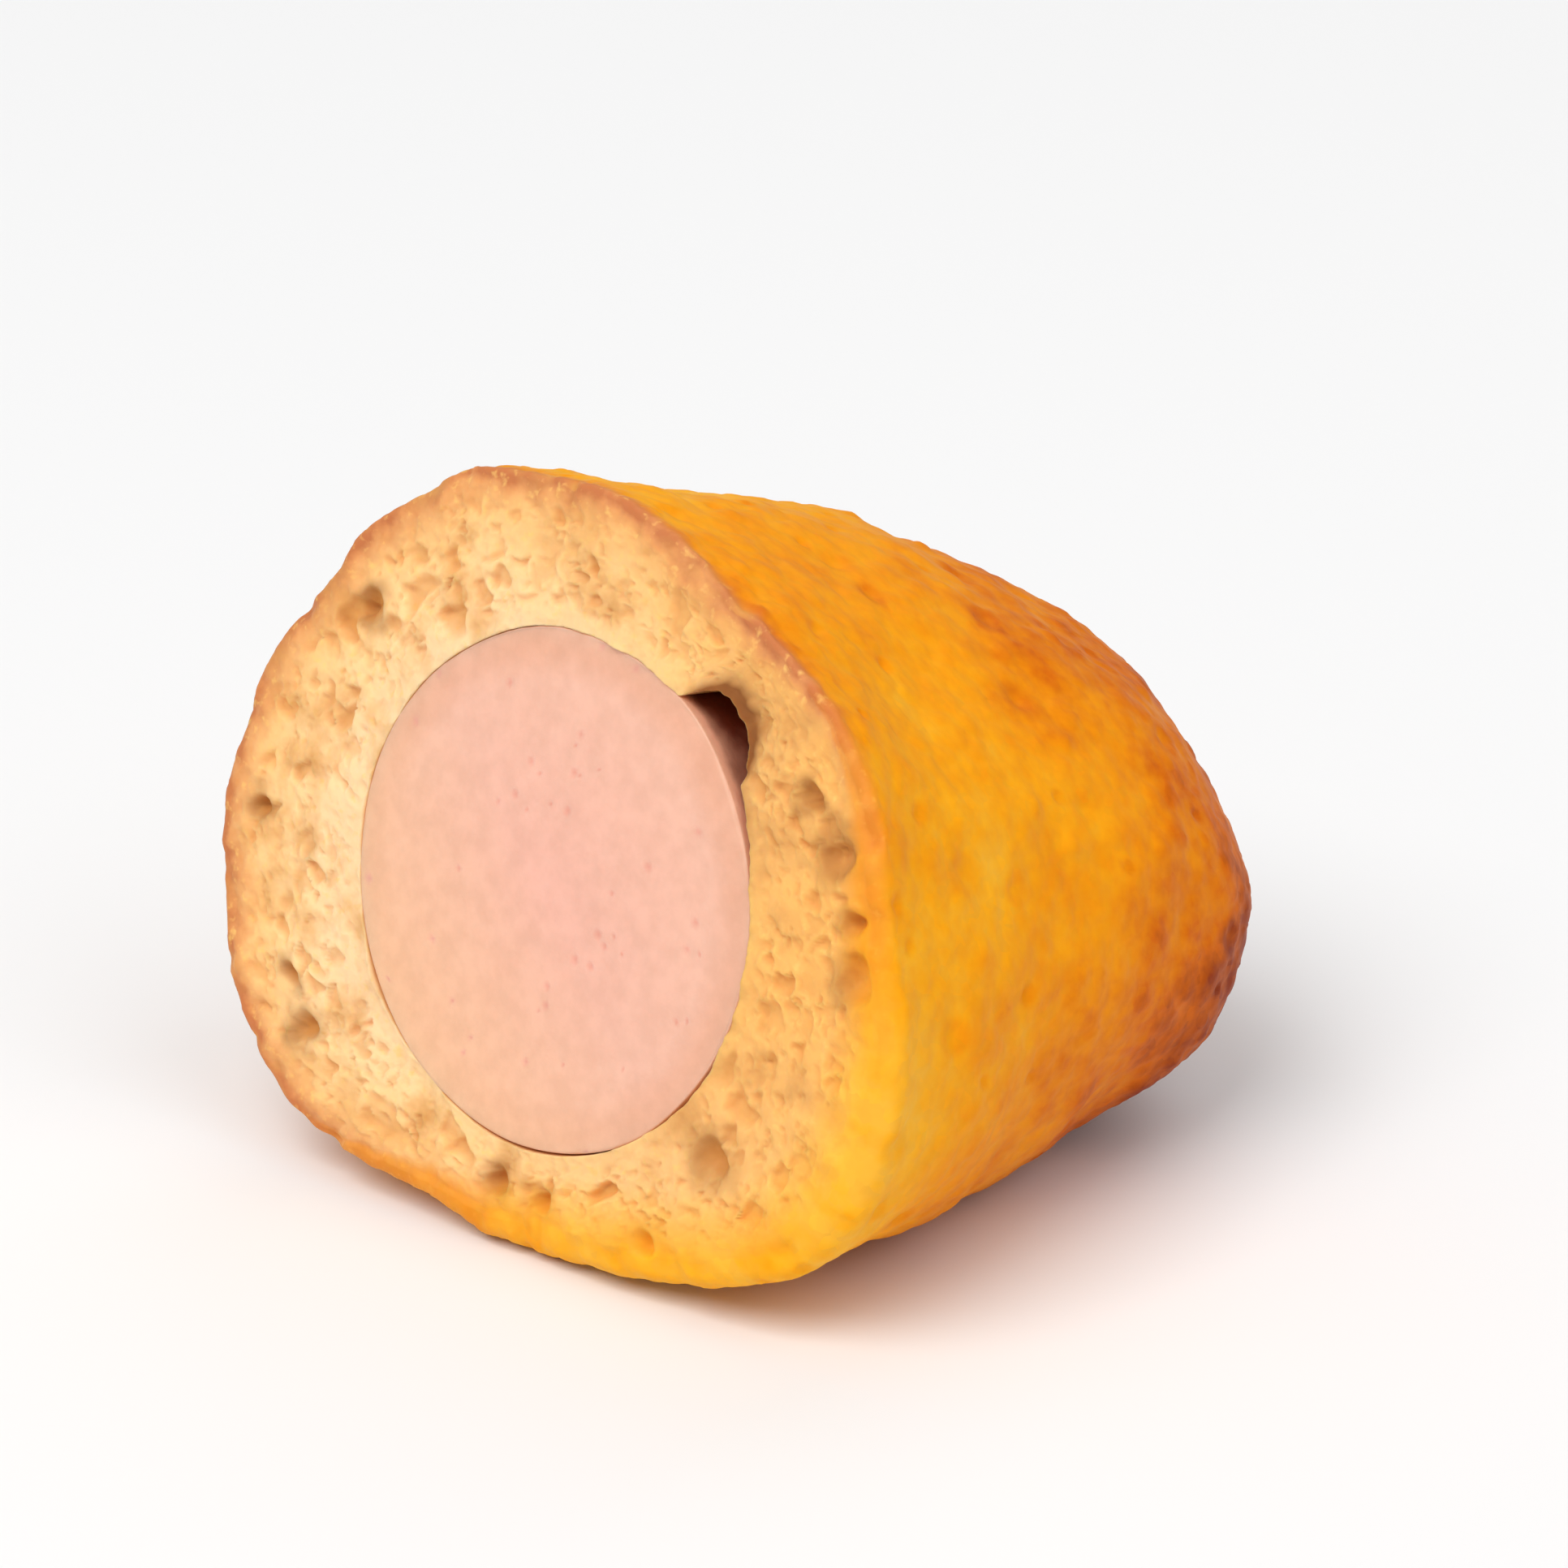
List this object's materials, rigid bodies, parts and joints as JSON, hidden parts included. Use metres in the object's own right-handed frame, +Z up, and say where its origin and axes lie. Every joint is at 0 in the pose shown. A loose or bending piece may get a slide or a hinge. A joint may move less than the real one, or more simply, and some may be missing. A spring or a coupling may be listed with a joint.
{
  "type": "corn dog",
  "caption": "Half of a stickless bite-size corn dog, cut across: golden fried corn batter round a pink sausage, lying on its side.",
  "frame": {"origin": "on the surface that the half rests on, under the middle of its box", "axes": "+Z up, -Y the way the cut face looks, +Y along the sausage towards the round end, +X across the cut face"},
  "size_m": [0.0288, 0.0262, 0.0242],
  "materials": {
    "batter": "fried corn batter: golden orange crust, pale yellow crumb at the cut",
    "sausage": "cooked sausage: smooth pale pink, slightly moist"
  },
  "bodies": {
    "root": {"batter": "batter", "sausage": "sausage"}
  },
  "joints": []
}
